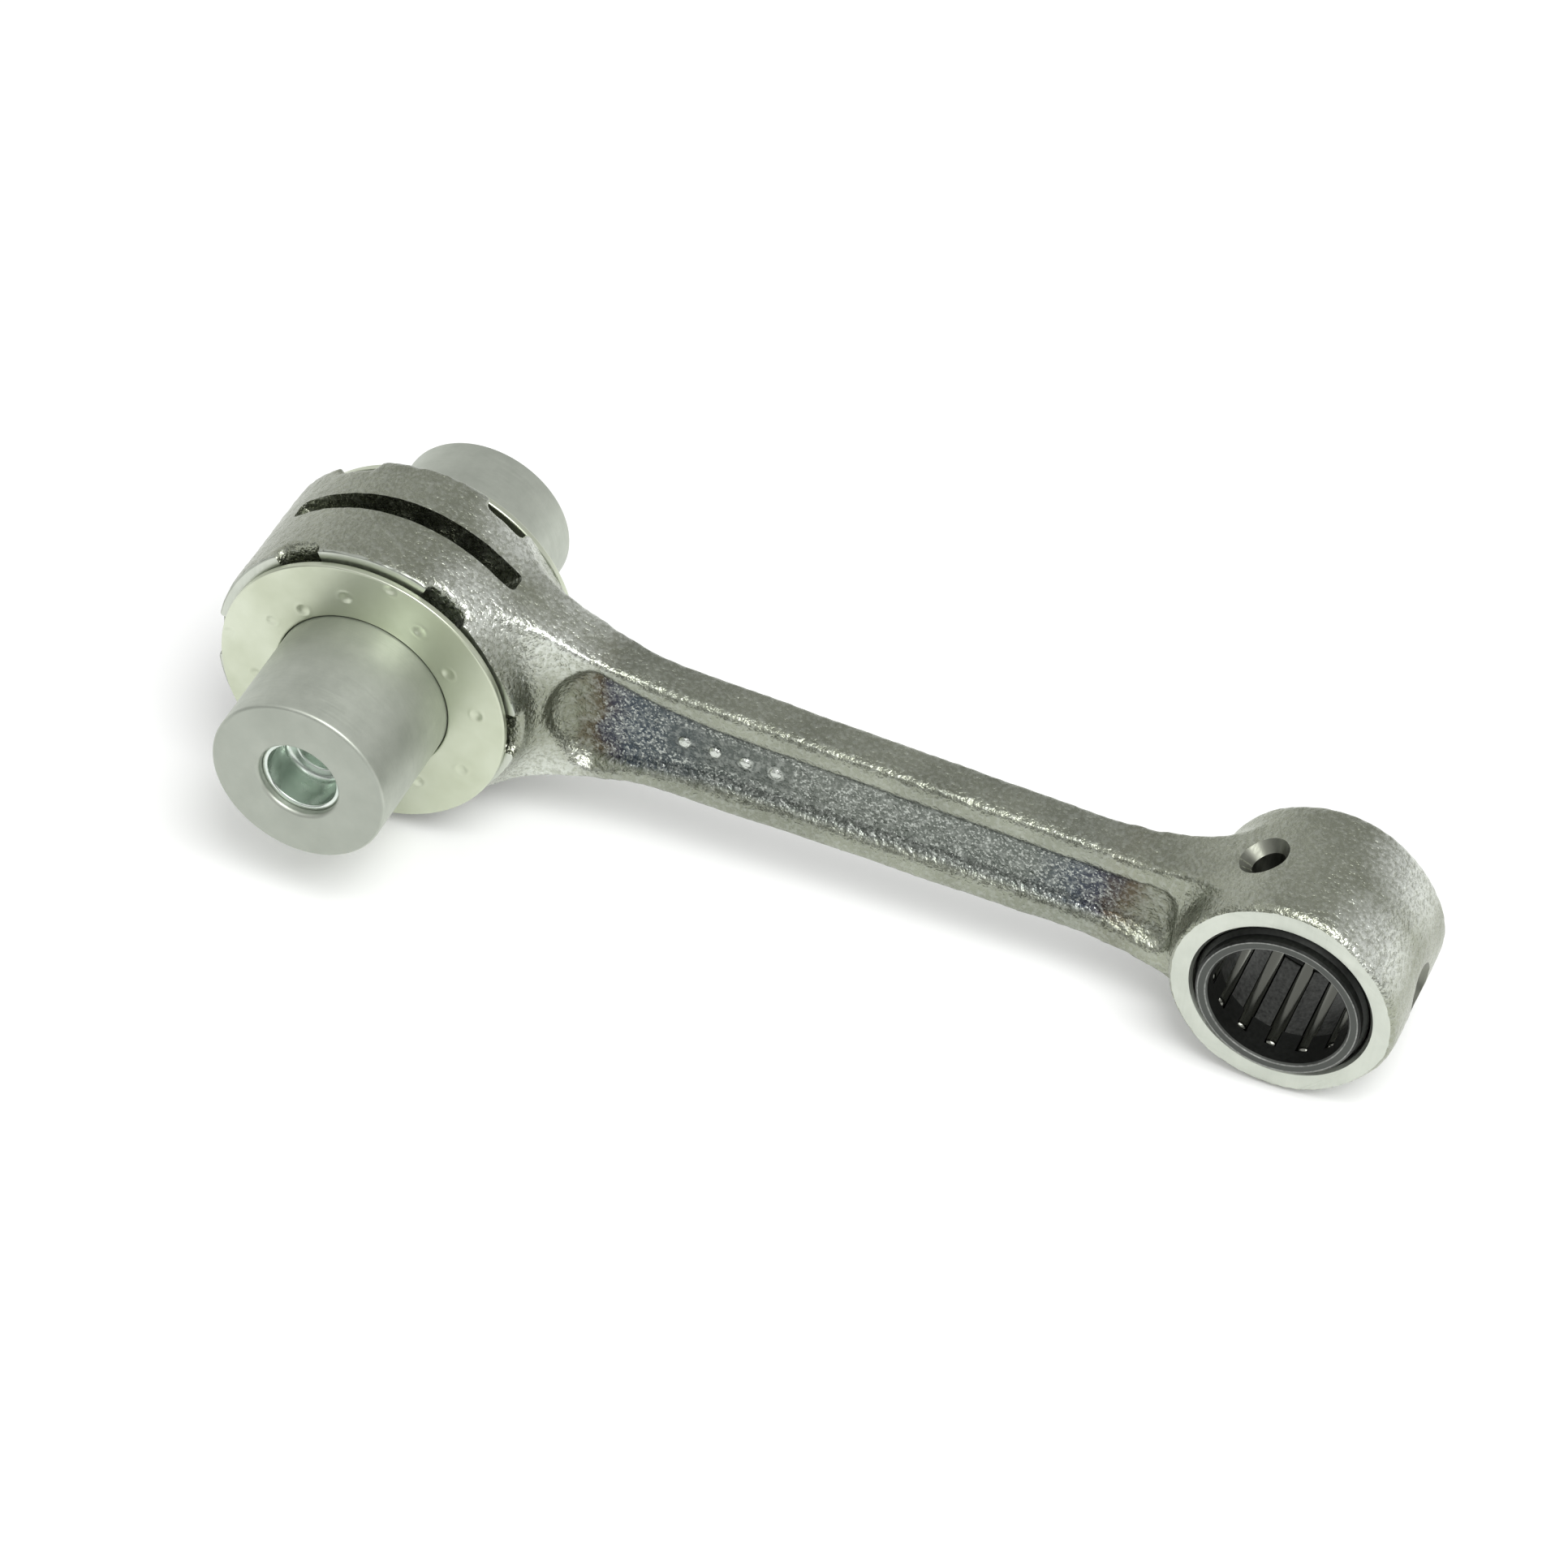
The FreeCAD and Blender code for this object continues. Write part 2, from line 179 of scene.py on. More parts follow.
def makeRoom(r):
    # a light tent: bright walls, dimmer high at the back, with a dark doorway in front
    world = bpy.data.worlds.new("lightTent")
    bpy.context.scene.world = world
    world.use_nodes = True
    tree = world.node_tree
    tree.nodes.clear()
    direction = addNode(tree, "ShaderNodeTexCoord").outputs["Generated"]
    towards = addNode(tree, "ShaderNodeVectorMath", operation="DOT_PRODUCT")
    towards.inputs[1].default_value = Vector(r["dimDirection"]).normalized()
    tree.links.new(direction, towards.inputs[0])
    ramp = addNode(tree, "ShaderNodeValToRGB")
    low, high = ramp.color_ramp.elements
    low.position, high.position = r["dimFrom"], r["dimTo"]
    low.color = (*[r["tent"]] * 3, 1)
    high.color = (*[r["dim"]] * 3, 1)
    ramp.color_ramp.interpolation = "EASE"
    tree.links.new(towards.outputs["Value"], ramp.inputs[0])
    split = addNode(tree, "ShaderNodeSeparateXYZ")
    tree.links.new(direction, split.inputs[0])
    rise = spread(tree, split.outputs["Z"], r["doorway"], 1, *r["doorwayTop"])
    ahead = spread(tree, split.outputs["Y"], 0, 1, *r["doorwaySides"])
    gap = blendColour(tree, ahead, (1, 1, 1), rise)
    both = blendColour(tree, 1, ramp.outputs[0], gap, "MULTIPLY")
    shade = addNode(tree, "ShaderNodeBackground")
    out = addNode(tree, "ShaderNodeOutputWorld")
    tree.links.new(both, shade.inputs[0])
    tree.links.new(shade.outputs[0], out.inputs[0])
    areaLight("topSoftbox", r["keyPlace"], r["keyAim"], r["keySize"], r["keyPower"])


placeCamera(view)
makeFloor(room)
makeRoom(room)
bpy.context.scene.view_settings.view_transform = "Standard"
print("camera, floor and lights placed")


# more helpers for the finishes
def objectPlace(tree, stretch=(1, 1, 1)):
    coord = addNode(tree, "ShaderNodeTexCoord")
    mapping = addNode(tree, "ShaderNodeMapping")
    mapping.inputs["Scale"].default_value = stretch
    tree.links.new(coord.outputs["Object"], mapping.inputs[0])
    return mapping.outputs[0]


def grain(tree, coords, size, detail=3.0, rough=0.55):
    # size is how wide one blotch or grain is, in metres
    tex = addNode(tree, "ShaderNodeTexNoise")
    tex.inputs["Scale"].default_value = 1.0 / size
    tex.inputs["Detail"].default_value = detail
    tex.inputs["Roughness"].default_value = rough
    tree.links.new(coords, tex.inputs["Vector"])
    return tex.outputs[0]


def maths(tree, operation, *values):
    node = addNode(tree, "ShaderNodeMath", operation=operation)
    for socket, value in zip(node.inputs, values):
        if isinstance(value, (int, float)):
            socket.default_value = value
        else:
            tree.links.new(value, socket)
    return node.outputs[0]


def splitXYZ(tree, kind="Object"):
    coord = addNode(tree, "ShaderNodeTexCoord")
    split = addNode(tree, "ShaderNodeSeparateXYZ")
    tree.links.new(coord.outputs[kind], split.inputs[0])
    return split.outputs["X"], split.outputs["Y"], split.outputs["Z"]


def radiusFrom(tree, x):
    # distance from an axis along Y
    alongX, _, alongZ = splitXYZ(tree)
    dx = maths(tree, "SUBTRACT", alongX, x)
    return maths(tree, "SQRT", maths(tree, "ADD", maths(tree, "MULTIPLY", dx, dx),
                                     maths(tree, "MULTIPLY", alongZ, alongZ)))


def facingY(tree, low, high):
    normal = splitXYZ(tree, "Normal")
    return spread(tree, maths(tree, "ABSOLUTE", normal[1]), 0, 1, low, high)


def nearTo(tree, value, middle, half):
    away = maths(tree, "ABSOLUTE", maths(tree, "SUBTRACT", value, middle))
    return spread(tree, away, 1, 0, half * 0.4, half)


def roughFrom(tree, shader, value, low, high):
    tree.links.new(spread(tree, value, low, high), shader.inputs["Roughness"])


def bumpFrom(tree, height, depth, strength=1.0, under=None):
    bump = addNode(tree, "ShaderNodeBump")
    bump.inputs["Strength"].default_value = strength
    bump.inputs["Distance"].default_value = depth
    tree.links.new(height, bump.inputs["Height"])
    if under is not None:
        tree.links.new(under, bump.inputs["Normal"])
    return bump.outputs[0]


# small helpers for the shapes
def newObject(name, mesh):
    obj = bpy.data.objects.new(name, mesh)
    bpy.context.scene.collection.objects.link(obj)
    return obj


def cylinderAlongY(bm, radius, yFrom, yTo, x=0.0):
    made = bmesh.ops.create_cone(bm, cap_ends=True, segments=128, radius1=radius, radius2=radius,
                                 depth=yTo - yFrom)
    turn = Matrix.Rotation(-math.pi / 2, 4, "X")
    move = Matrix.Translation((x, (yFrom + yTo) / 2, 0)) @ turn
    bmesh.ops.transform(bm, matrix=move, verts=made["verts"])


def meshFrom(bm, name):
    mesh = bpy.data.meshes.new(name)
    bm.normal_update()
    bm.to_mesh(mesh)
    bm.free()
    return mesh


def applyModifiers(obj):
    graph = bpy.context.evaluated_depsgraph_get()
    mesh = bpy.data.meshes.new_from_object(obj.evaluated_get(graph))
    obj.modifiers.clear()
    obj.data = mesh


def lathe(name, points, x=0.0, segments=192):
    # solid turned about the Y axis at x, from (radius, y) points that run once round the section
    bm = bmesh.new()
    rings = []
    for i in range(segments):
        a = 2 * math.pi * i / segments
        rings.append([bm.verts.new((x + r * math.cos(a), y, r * math.sin(a))) for r, y in points])
    count = len(points)
    for i in range(segments):
        one, two = rings[i], rings[(i + 1) % segments]
        for k in range(count):
            a, b = one[k], one[(k + 1) % count]
            c, d = two[(k + 1) % count], two[k]
            bm.faces.new((a, b, c, d))
    bmesh.ops.remove_doubles(bm, verts=bm.verts, dist=1e-8)
    bmesh.ops.recalc_face_normals(bm, faces=bm.faces)
    return meshFrom(bm, name)


def roundCorners(points, steps=5):
    # section points (radius, y, round) with each corner replaced by its round
    out = []
    count = len(points)
    for i, (r, y, bend) in enumerate(points):
        here = Vector((r, y))
        if bend <= 0:
            out.append((r, y))
            continue
        back = (Vector(points[i - 1][:2]) - here).normalized()
        ahead = (Vector(points[(i + 1) % count][:2]) - here).normalized()
        angle = back.angle(ahead)
        reach = bend / math.tan(angle / 2)
        middle = here + (back + ahead).normalized() * (bend / math.sin(angle / 2))
        first, last = here + back * reach, here + ahead * reach
        for k in range(steps + 1):
            t = (first - middle).lerp(last - middle, k / steps).normalized() * bend
            out.append(tuple(middle + t))
    return out


def place(name, mesh, body, mat, replaced):
    piece = newObject(name, mesh)
    mesh.materials.append(mat)
    for p in mesh.polygons:
        p.use_smooth = True
    mesh.set_sharp_from_angle(angle=math.radians(40))
    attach(piece, body)
    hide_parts(replaced)


# crank pin
pinFinish = {
    "boreRadius": 5.5 * mm,
    "boreRound": 0.55 * mm,
    "endRound": 0.45 * mm,
    "colour": (0.53, 0.56, 0.495),
    "darker": (0.46, 0.49, 0.43),
    "endFace": (0.40, 0.425, 0.375),    # the sawn and lapped ends are duller
    "roughness": 0.50,
    "scratch": 0.35 * mm,   # spacing of the grinding lines
}


def groundSteel(f):
    mat, tree, shader = nodeTree("groundPinSteel")
    lines = grain(tree, objectPlace(tree, (0.06, 1.6, 0.06)), f["scratch"], 2)
    blotch = grain(tree, objectPlace(tree), 3 * mm, 4, 0.65)
    shader.inputs["Metallic"].default_value = 1.0
    colour = blendColour(tree, spread(tree, blotch, 0, 1), f["colour"], f["darker"])
    endTone = blendColour(tree, spread(tree, blotch, 0.75, 1), colour, f["endFace"])
    colour = blendColour(tree, facingY(tree, 0.6, 0.95), colour, endTone)
    tree.links.new(colour, shader.inputs["Base Color"])
    roughFrom(tree, shader, lines, f["roughness"] - 0.05, f["roughness"] + 0.07)
    tree.links.new(bumpFrom(tree, lines, 0.003 * mm, 0.3), shader.inputs["Normal"])
    return mat


def makeCrankPin(f, mat):
    outer = pinHigh.x
    corners = [(outer, pinLow.y, f["endRound"]), (outer, pinHigh.y, f["endRound"]),
               (f["boreRadius"], pinHigh.y, f["boreRound"]),
               (f["boreRadius"], pinLow.y, f["boreRound"])]
    mesh = lathe("crank_pin_body", roundCorners(corners))
    place("crank_pin_body", mesh, "crank_pin", mat, "crank_pin")


# thrust washers
washerFinish = {
    "colour": (0.64, 0.68, 0.555),
    "tint": (0.56, 0.60, 0.465),
    "roughness": 0.34,
    "bore": 12.1 * mm,
    "rings": 44,            # rings of faces from the bore to the rim
    "turns": 288,
    "edge": 0.22 * mm,
    "same": 1e-7,           # points nearer than this are level
    "dimpleRadius": 0.85 * mm, "dimpleDepth": 0.17 * mm,
    "lip": 0.05 * mm,
    # angle in degrees and radius in mm of each dimple
    "dimples": [(100, 15.3), (129, 13.6), (152, 14.6), (173, 19.0), (192, 15.2), (214, 16.9),
                (237, 14.2), (262, 17.6), (284, 15.0), (305, 14.7), (333, 16.2), (10, 16.3),
                (35, 14.4), (61, 15.7), (80, 19.3)],
}


def washerSteel(f):
    mat, tree, shader = nodeTree("polishedWasherSteel")
    blotch = grain(tree, objectPlace(tree), 7 * mm, 3)
    fine = grain(tree, objectPlace(tree), 0.5 * mm, 2)
    shader.inputs["Metallic"].default_value = 1.0
    colour = blendColour(tree, spread(tree, blotch, 0, 1), f["colour"], f["tint"])
    tree.links.new(colour, shader.inputs["Base Color"])
    roughFrom(tree, shader, blotch, f["roughness"] - 0.03, f["roughness"] + 0.08)
    tree.links.new(bumpFrom(tree, fine, 0.003 * mm, 0.3), shader.inputs["Normal"])
    return mat


def makeWasher(f, side, low, high, mat):
    # a turned ring whose outer face carries the dimples, each with a small raised lip
    name = "washer_front" if side < 0 else "washer_rear"
    outerY, innerY = (low.y, high.y) if side < 0 else (high.y, low.y)
    bore, rim, edge = f["bore"], high.x, f["edge"]
    corners = [(bore, innerY, edge), (bore, outerY, edge), (rim, outerY, edge), (rim, innerY, edge)]
    section = roundCorners(corners, 4)
    start = max(i for i, (r, y) in enumerate(section)
                if abs(y - outerY) < f["same"] and r < (bore + rim) / 2)
    step = (rim - bore - 2 * edge) / f["rings"]
    face = [(bore + edge + step * i, outerY) for i in range(1, f["rings"])]
    section = section[:start + 1] + face + section[start + 1:]
    mesh = lathe(name, section, segments=f["turns"])
    centres = [(r * mm * math.cos(math.radians(a)), r * mm * math.sin(math.radians(a)))
               for a, r in f["dimples"]]
    radius, depth, lip = f["dimpleRadius"], f["dimpleDepth"], f["lip"]
    for v in mesh.vertices:
        onFace = abs(v.co.y - outerY) <= f["same"]
        if not onFace or math.hypot(v.co.x, v.co.z) > rim - edge + f["same"]:
            continue
        push = 0.0
        for x, z in centres:
            t = math.hypot(v.co.x - x, v.co.z - z) / radius
            if t < 1:
                push -= depth * (1 - t * t) ** 1.5
            if 0.7 < t < 1.5:
                push += lip * math.sin(math.pi * (t - 0.7) / 0.8) ** 2
        v.co.y += side * push
    mesh.update()
    node = "thrust_washer_front" if side < 0 else "thrust_washer_rear"
    place(name, mesh, node, mat, node)


# cup plugs
plugFinish = {
    "wall": 0.75 * mm,
    "pocket": 5.4 * mm,     # depth of the wide part
    "noseRadius": 3.1 * mm,
    "noseDepth": 1.5 * mm,
    "colour": (0.74, 0.79, 0.74),
    "passivate": (0.54, 0.625, 0.555),
    "roughness": 0.26,
}


def zincPlate(f):
    mat, tree, shader = nodeTree("zincPlate")
    cloud = grain(tree, objectPlace(tree), 4 * mm, 2)
    fine = grain(tree, objectPlace(tree), 0.35 * mm, 2)
    shader.inputs["Metallic"].default_value = 1.0
    colour = blendColour(tree, spread(tree, cloud, 0, 1), f["colour"], f["passivate"])
    tree.links.new(colour, shader.inputs["Base Color"])
    roughFrom(tree, shader, cloud, f["roughness"] - 0.06, f["roughness"] + 0.1)
    tree.links.new(bumpFrom(tree, fine, 0.006 * mm, 0.4), shader.inputs["Normal"])
    return mat


def makePlug(f, side, mat):
    # a stepped cup, open outwards
    node = "cup_plug_front" if side < 0 else "cup_plug_rear"
    low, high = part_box(node)
    rim, end = (low.y, high.y) if side < 0 else (high.y, low.y)
    inward = -side
    outer, inner = high.x, high.x - f["wall"]
    step = rim + inward * f["pocket"]
    nose = step + inward * f["noseDepth"]
    corners = [(outer, rim, 0.3 * mm), (outer, end, 1.0 * mm), (0.0, end, 0), (0.0, nose, 0),
               (f["noseRadius"], nose, 0.5 * mm), (f["noseRadius"], step, 0.35 * mm),
               (inner, step, 0.8 * mm), (inner, rim, 0.3 * mm)]
    mesh = lathe(node + "_shell", roundCorners(corners), segments=128)
    place(node + "_shell", mesh, "crank_pin", mat, node)


# bearings
bearingFinish = {
    "cage": (0.015, 0.016, 0.0145),
    "cageEdge": (0.026, 0.028, 0.025),
    "cageRim": (0.075, 0.08, 0.073),    # its turned end rims are worn lighter
    "cageEdgeHighlight": (0.34, 0.35, 0.33),     # and painted highlights along their edges
    "rimInner": 9.42 * mm, "rimOuter": 10.38 * mm,
    "cageRoughness": 0.36,
    "roller": (0.20, 0.205, 0.18),
    "rollerRoughness": 0.16,
    "endRound": 0.75 * mm,
}


def blackCage(f):
    mat, tree, shader = nodeTree("blackOxideCage")
    fine = grain(tree, objectPlace(tree), 0.5 * mm, 3)
    shader.inputs["Metallic"].default_value = 0.75
    dark = blendColour(tree, spread(tree, fine, 0, 1), f["cage"], f["cageEdge"])
    radius = radiusFrom(tree, smallX)
    colour = blendColour(tree, facingY(tree, 0.3, 0.6), dark, f["cageRim"])
    outside = spread(tree, radius, 0, 1, f["rimOuter"], f["rimOuter"] + 0.1 * mm)
    colour = blendColour(tree, outside, colour, dark)
    highlightBreakup = spread(tree, fine, 0.25, 1.0)
    # painted highlights along the rims' edges, broken up by the grain
    for edge in (f["rimInner"], f["rimOuter"]):
        line = nearTo(tree, radius, edge, 0.11 * mm)
        colour = blendColour(tree, maths(tree, "MULTIPLY", line, highlightBreakup), colour, f["cageEdgeHighlight"])
    tree.links.new(colour, shader.inputs["Base Color"])
    roughFrom(tree, shader, fine, f["cageRoughness"] - 0.08, f["cageRoughness"] + 0.1)
    tree.links.new(bumpFrom(tree, fine, 0.01 * mm, 0.3), shader.inputs["Normal"])
    return mat


def rollerSteel(f):
    mat, tree, shader = nodeTree("rollerSteel")
    lines = grain(tree, objectPlace(tree, (1, 0.08, 1)), 0.3 * mm, 2)
    shader.inputs["Base Color"].default_value = (*f["roller"], 1)
    shader.inputs["Metallic"].default_value = 1.0
    roughFrom(tree, shader, lines, f["rollerRoughness"] - 0.05, f["rollerRoughness"] + 0.08)
    return mat


def dress(nodeName, mat):
    mesh = nodes[nodeName].data
    if not mesh.materials:
        mesh.materials.append(mat)
    for i in range(len(mesh.materials)):
        mesh.materials[i] = mat


def makeRoller(f, node, mat):
    low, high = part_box(node)
    radius, half = (high.x - low.x) / 2, (high.y - low.y) / 2
    bend = min(f["endRound"], radius * 0.6)
    corners = [(0.0, -half, 0), (radius, -half, bend), (radius, half, bend), (0.0, half, 0)]
    section = roundCorners(corners, 6)
    mesh = lathe(node + "_roller", section, segments=48)
    mesh.transform(Matrix.Translation((low + high) / 2))
    place(node + "_roller", mesh, node, mat, node)


pinMat, washerMat = groundSteel(pinFinish), washerSteel(washerFinish)
plugMat, cageMat = zincPlate(plugFinish), blackCage(bearingFinish)
rollerMat = rollerSteel(bearingFinish)
makeCrankPin(pinFinish, pinMat)
makeWasher(washerFinish, -1, frontWasherLow, frontWasherHigh, washerMat)
makeWasher(washerFinish, 1, rearWasherLow, rearWasherHigh, washerMat)
for side in (-1, 1):
    makePlug(plugFinish, side, plugMat)
for name in ("big_end_cage", "small_end_cage"):
    dress(name, cageMat)
for name in sorted(nodes):
    if "roller" in name or "needle" in name:
        makeRoller(bearingFinish, name, rollerMat)
print("pins, washers and bearings finished")


# rod: a rough forging blank, then the machining on it
forging = {
    "voxel": 0.38 * mm,
    "smoothRounds": 12,     # passes that round the forging's edges
    "lumps": 0.09 * mm,     # slow waviness of the skin
    "lumpSize": 6.0 * mm,
    "pits": 0.07 * mm,      # peened pits
    "pitSize": 1.0 * mm,
    # the hammered shoulders lean in at the rims: (middle angle, spread, reach in, width along Y)
    "shoulders": {"big": (36, 34, 1.3 * mm, 8.5 * mm), "small": (42, 40, 0.55 * mm, 8.0 * mm)},
    "smoothSteps": (0.6, -0.22),    # share of the way to the neighbours' mean, in and back out
    "proud": 0.35 * mm,     # stock left on the faces before they are machined
    "pips": 4, "pipFirst": 40.5 * mm, "pipStep": 4.2 * mm,
    "pipRadius": 0.95 * mm, "pipHeight": 0.6 * mm,
    "webHalf": 1.5 * mm,
}
machining = {
    "bigBore": 15.57 * mm,
    "smallBore": 11.57 * mm,
    "boreEdge": 0.4 * mm,
    "slotWidth": 3.2 * mm,
    "slotFrom": 48.5, "slotTo": 131.5,     # middles of its round ends
    "rimRound": 0.6 * mm,   # turned round on the big end's rims
    "notchCount": 6, "notchAngle": 17.0, "notchDepth": 1.5 * mm,
    "oilHoles": 3, "oilHole": 2.25 * mm, "oilMouth": 3.5 * mm, "oilCone": 1.5 * mm,
    "smallFace": 10.25 * mm,
    "over": 1.5 * mm,       # how far a tool starts outside the steel
    "faceTool": 6 * mm,     # thickness of the face cutters
}


def blankForging(f, m):
    bm = bmesh.new()
    bm.from_mesh(nodes["rod"].data)
    cylinderAlongY(bm, bigRadius - 0.02 * mm, frontFace - f["proud"], rearFace + f["proud"])
    face = m["smallFace"]
    cylinderAlongY(bm, smallRadius - 0.05 * mm, -face + 0.5 * mm, face - 0.5 * mm, smallX)
    cylinderAlongY(bm, smallRadius - 0.85 * mm, -face - f["proud"], face + f["proud"], smallX)
    rod = newObject("rod_forging", meshFrom(bm, "rod_forging"))
    evenMesh(rod, f["voxel"])
    cutAway(rod, notchTools(m))     # the oil grooves are forged in
    evenMesh(rod, f["voxel"])
    print("forging blank:", len(rod.data.polygons), "faces")
    return rod


def evenMesh(obj, voxel):
    remesh = obj.modifiers.new("remesh", "REMESH")
    remesh.mode, remesh.voxel_size, remesh.adaptivity = "VOXEL", voxel, 0.0
    applyModifiers(obj)


def relax(mesh, f):
    # each pass smooths and then swells part of the way back: edges round, the body keeps its size
    n = len(mesh.vertices)
    co = np.zeros(n * 3)
    mesh.vertices.foreach_get("co", co)
    co = co.reshape(-1, 3)
    ends = np.zeros(len(mesh.edges) * 2, np.int64)
    mesh.edges.foreach_get("vertices", ends)
    a, b = ends[0::2], ends[1::2]
    degree = np.bincount(np.concatenate([a, b]), minlength=n).reshape(-1, 1)
    for _ in range(f["smoothRounds"]):
        for step in f["smoothSteps"]:
            total = np.zeros_like(co)
            for axis in range(3):
                total[:, axis] = np.bincount(a, co[b, axis], n) + np.bincount(b, co[a, axis], n)
            co += step * (total / degree - co)
    mesh.vertices.foreach_set("co", co.ravel())
    mesh.update()


def leanShoulders(mesh, f, m):
    # the outside of both eyes falls away towards the rims, most on the beam's side
    n = len(mesh.vertices)
    co = np.zeros(n * 3)
    mesh.vertices.foreach_get("co", co)
    co = co.reshape(-1, 3)
    eyes = (("big", 0.0, bigRadius, frontFace, rearFace),
            ("small", smallX, smallRadius, -m["smallFace"], m["smallFace"]))
    for eye, x, radius, front, rear in eyes:
        angle, span, reach, width = f["shoulders"][eye]
        dx, dz = co[:, 0] - x, co[:, 2]
        r = np.hypot(dx, dz)
        turn = np.degrees(np.arctan2(np.abs(dz), dx))
        around = np.clip(1 - np.abs(turn - angle) / span, 0, 1)
        around = around * around * (3 - 2 * around)
        outer = np.clip((r - 0.80 * radius) / (0.2 * radius), 0, 1) * (r < 1.12 * radius)
        for face in (front, rear):
            near = np.clip(1 - np.abs(co[:, 1] - face) / width, 0, 1) ** 2
            shift = reach * around * outer * near
            co[:, 0] -= shift * dx / np.maximum(r, 1e-6)
            co[:, 2] -= shift * dz / np.maximum(r, 1e-6)
    mesh.vertices.foreach_set("co", co.ravel())
    mesh.update()


def peen(mesh, f):
    n = len(mesh.vertices)
    co, normals = np.zeros(n * 3), np.zeros(n * 3)
    mesh.vertices.foreach_get("co", co)
    mesh.vertex_normals.foreach_get("vector", normals)
    co, normals = co.reshape(-1, 3), normals.reshape(-1, 3)
    push = np.zeros(n)
    for i in range(n):
        here = Vector(co[i])
        slow = noise.noise(here / f["lumpSize"]) * f["lumps"]
        fine = noise.noise(here / f["pitSize"] + Vector((7, 3, 1))) * f["pits"]
        push[i] = slow + fine
    mesh.vertices.foreach_set("co", (co + normals * push[:, None]).ravel())
    mesh.update()


def cutters(m):
    tools = []
    far, edge, over = m["faceTool"], m["boreEdge"], m["over"]
    # faces of the big end and the small end
    bm = bmesh.new()
    wide = bigRadius + 1.2 * mm
    cylinderAlongY(bm, wide, frontFace - far, frontFace)
    cylinderAlongY(bm, wide, rearFace, rearFace + far)
    wideSmall = smallRadius + 1.0 * mm
    cylinderAlongY(bm, wideSmall, -m["smallFace"] - far, -m["smallFace"], smallX)
    cylinderAlongY(bm, wideSmall, m["smallFace"], m["smallFace"] + far, smallX)
    tools.append(newObject("tool_faces", meshFrom(bm, "tool_faces")))
    # the turned rounds on the big end's rims
    bend = m["rimRound"]
    for face, sign in ((frontFace, -1), (rearFace, 1)):
        arc = [(bigRadius - bend + bend * math.sin(t) + 0.1 * mm,
                face - sign * bend * (1 - math.cos(t)))
               for t in (math.pi / 2 * k / 6 for k in range(7))]
        points = [(bigRadius - bend - 0.1 * mm, face + sign * over)] + arc
        points += [(bigRadius + over, face - sign * bend), (bigRadius + over, face + sign * over)]
        tools.append(newObject("tool_rim", lathe("tool_rim", points)))
    # bores
    big, small = m["bigBore"], m["smallBore"]
    points = [(0.0, frontFace - over), (big + edge + over, frontFace - over),
              (big, frontFace + edge), (big, rearFace - edge),
              (big + edge + over, rearFace + over), (0.0, rearFace + over)]
    tools.append(newObject("tool_big_bore", lathe("tool_big_bore", points)))
    face = m["smallFace"]
    points = [(0.0, -face - over), (small + edge + over, -face - over), (small, -face + edge),
              (small, face - edge), (small + edge + over, face + over), (0.0, face + over)]
    tools.append(newObject("tool_small_bore", lathe("tool_small_bore", points, smallX)))
    return tools


def pipTools(f):
    # raised forging pips on the front web
    tools = []
    for i in range(f["pips"]):
        base = -f["webHalf"] + 0.6 * mm
        dome = [(f["pipRadius"] * math.cos(t), -f["webHalf"] - f["pipHeight"] * math.sin(t))
                for t in (math.pi / 2 * k / 6 for k in range(7))]
        section = [(0.0, base), (f["pipRadius"], base)] + dome[:-1] + [(0.0, dome[-1][1])]
        mesh = lathe("tool_pip", section, f["pipFirst"] + f["pipStep"] * i, 32)
        tools.append(newObject("tool_pip", mesh))
    return tools


def squareRound(t, size):
    # a point on a rounded square of this half size
    c, s = math.cos(t), math.sin(t)
    return (math.copysign(math.sqrt(abs(c)), c) * size, math.copysign(math.sqrt(abs(s)), s) * size)


def slotTool(m, start, end):
    # curved slot through the big end's wall, with blunt round ends
    bm = bmesh.new()
    half = m["slotWidth"] / 2
    inner, outer = m["bigBore"] - 1 * mm, bigRadius + 4.5 * mm
    rows = []
    steps = 64
    endPoints = 8
    span = math.radians(end - start)
    # outline in (angle, y), a stadium whose ends are round at the outer wall
    outline = []
    for i in range(steps + 1):
        outline.append((math.radians(start) + span * i / steps, -half))
    for i in range(1, 2 * endPoints):
        t = -math.pi / 2 + math.pi * i / (2 * endPoints)
        ahead, y = squareRound(t, half)
        outline.append((math.radians(end) + ahead / bigRadius, y))
    for i in range(steps + 1):
        outline.append((math.radians(end) - span * i / steps, half))
    for i in range(1, 2 * endPoints):
        t = math.pi / 2 + math.pi * i / (2 * endPoints)
        ahead, y = squareRound(t, half)
        outline.append((math.radians(start) + ahead / bigRadius, y))
    for radius in (inner, outer):
        rows.append([bm.verts.new((radius * math.cos(a), y, radius * math.sin(a)))
                     for a, y in outline])
    count = len(outline)
    for k in range(count):
        bm.faces.new((rows[0][k], rows[0][(k + 1) % count], rows[1][(k + 1) % count], rows[1][k]))
    # caps, as strips across the slot
    for row in rows:
        low = row[:steps + 1]
        endArc = row[steps + 1:steps + 2 * endPoints]
        high = row[steps + 2 * endPoints:2 * steps + 2 * endPoints + 1]
        startArc = row[2 * steps + 2 * endPoints + 1:]
        high = high[::-1]       # now it runs the same way as low
        for i in range(steps):
            bm.faces.new((low[i], low[i + 1], high[i + 1], high[i]))
        bm.faces.new([low[-1]] + endArc + [high[-1]])
        bm.faces.new([high[0]] + startArc + [low[0]])
    bmesh.ops.recalc_face_normals(bm, faces=bm.faces)
    bmesh.ops.triangulate(bm, faces=bm.faces)
    return newObject("tool_slot", meshFrom(bm, "tool_slot"))


